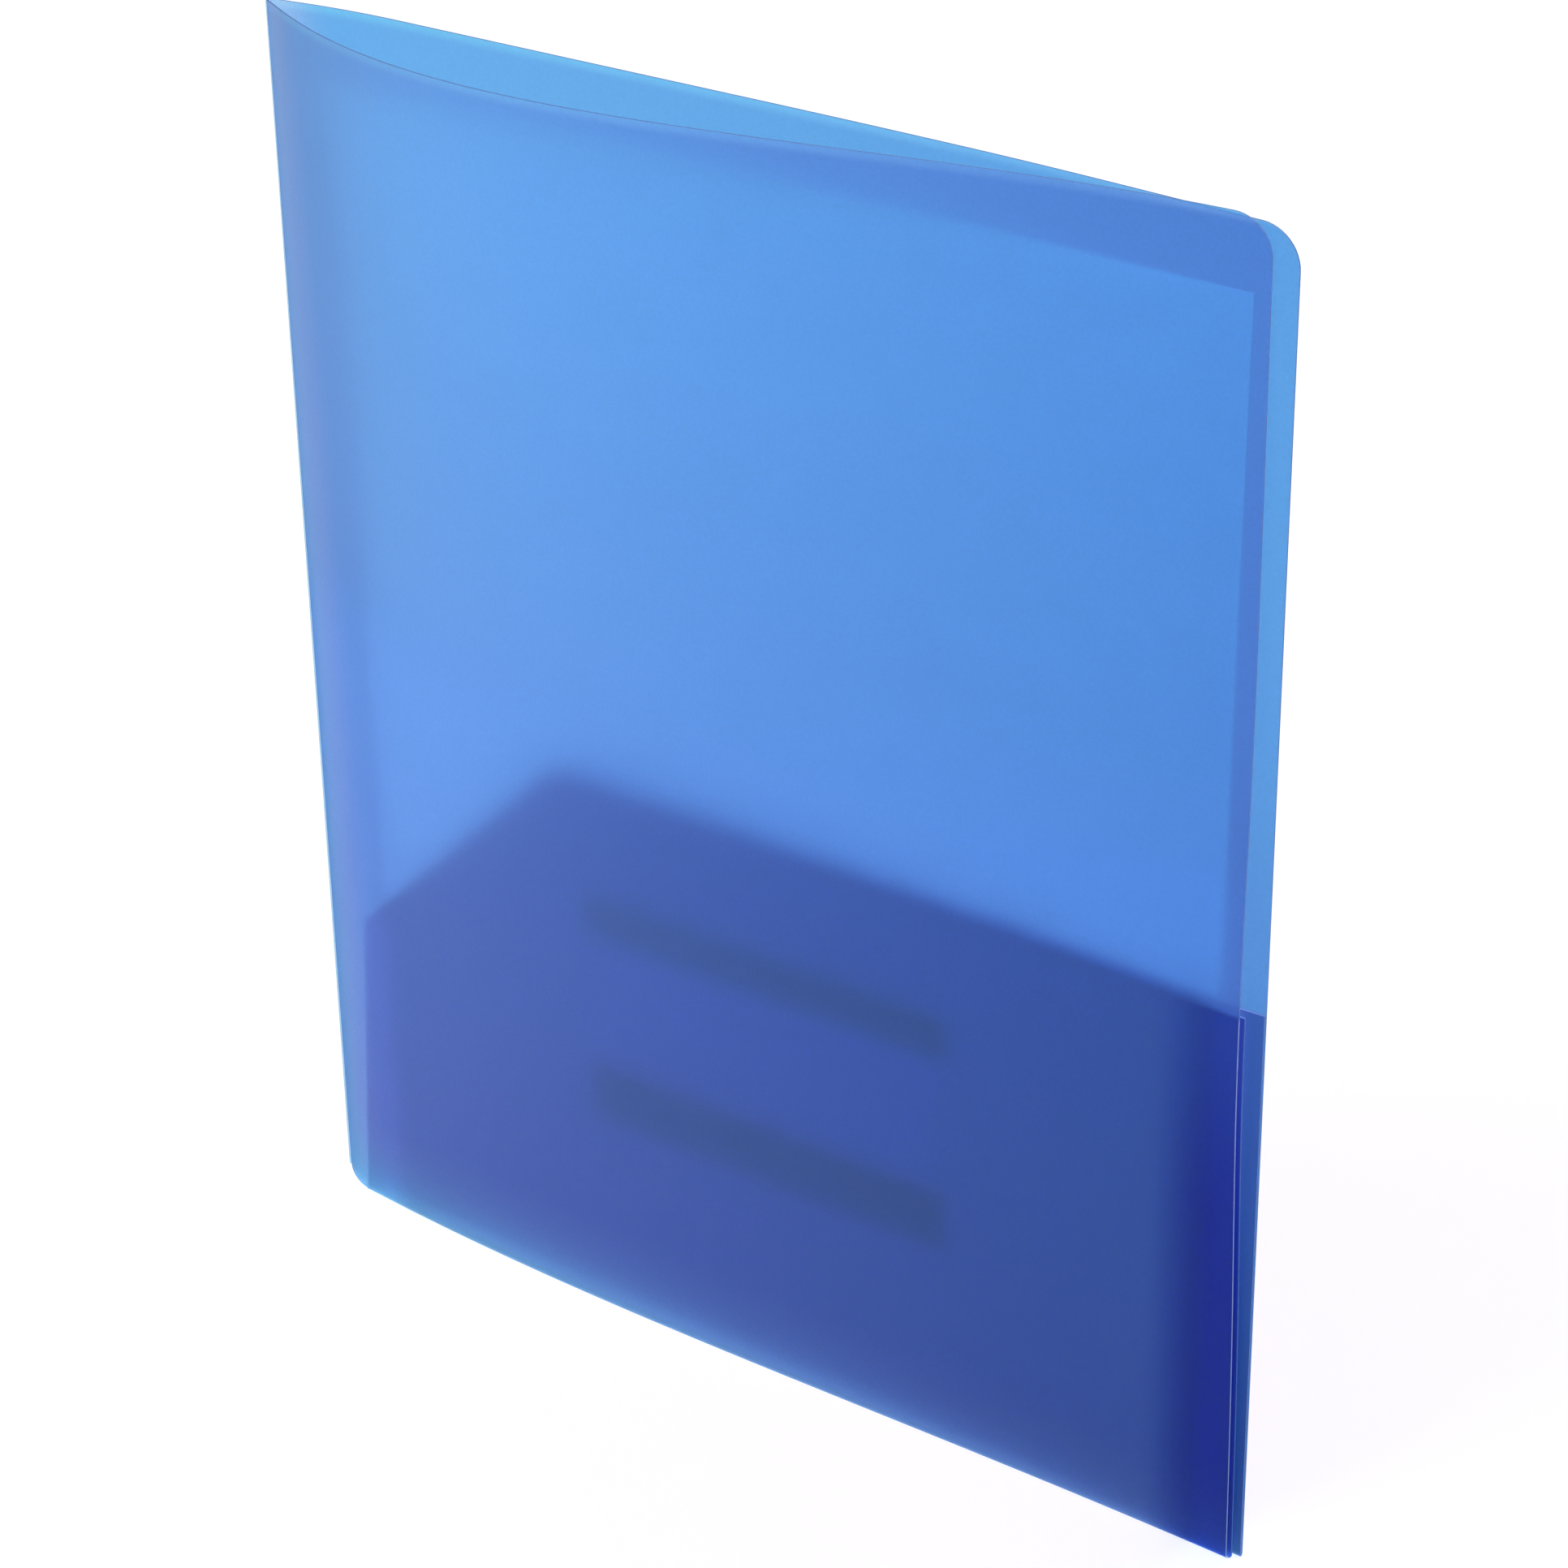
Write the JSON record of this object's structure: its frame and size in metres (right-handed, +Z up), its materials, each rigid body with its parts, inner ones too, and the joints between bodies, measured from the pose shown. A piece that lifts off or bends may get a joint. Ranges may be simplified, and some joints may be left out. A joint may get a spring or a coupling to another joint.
{
  "type": "two-pocket document folder",
  "caption": "Upright two-pocket folder of translucent blue sheet plastic, spine at the left, front cover swinging open, with loose paper in the back pocket.",
  "frame": {"origin": "on the floor, under the middle of the overall box", "axes": "+Z up along the spine, +X from the spine to the free edges, -Y out of the front cover"},
  "size_m": [0.2434, 0.0252, 0.2951],
  "materials": {
    "front_sheet": "fine matte, translucent",
    "back_sheet": "fine matte, translucent",
    "spine": "creased, slightly milky",
    "paper": "plain office paper",
    "card": "smooth card"
  },
  "bodies": {
    "back": {"back_cover": "back_sheet", "back_pocket": "back_sheet", "spine_hinge": "spine", "insert_card": "card"},
    "front": {"front_cover": "front_sheet", "front_pocket": "front_sheet"},
    "paper": {"document_sheet": "paper"}
  },
  "joints": [
    {"name": "cover_hinge", "type": "hinge", "parent": "back", "child": "front", "pos_m": [-0.12123, 0.00885, 0], "axis": [0, 0, -1], "range_deg": [0, 180]},
    {"name": "paper_lift", "type": "slide", "parent": "back", "child": "paper", "axis": [0, 0, 1], "range_m": [0, 0.3]}
  ]
}
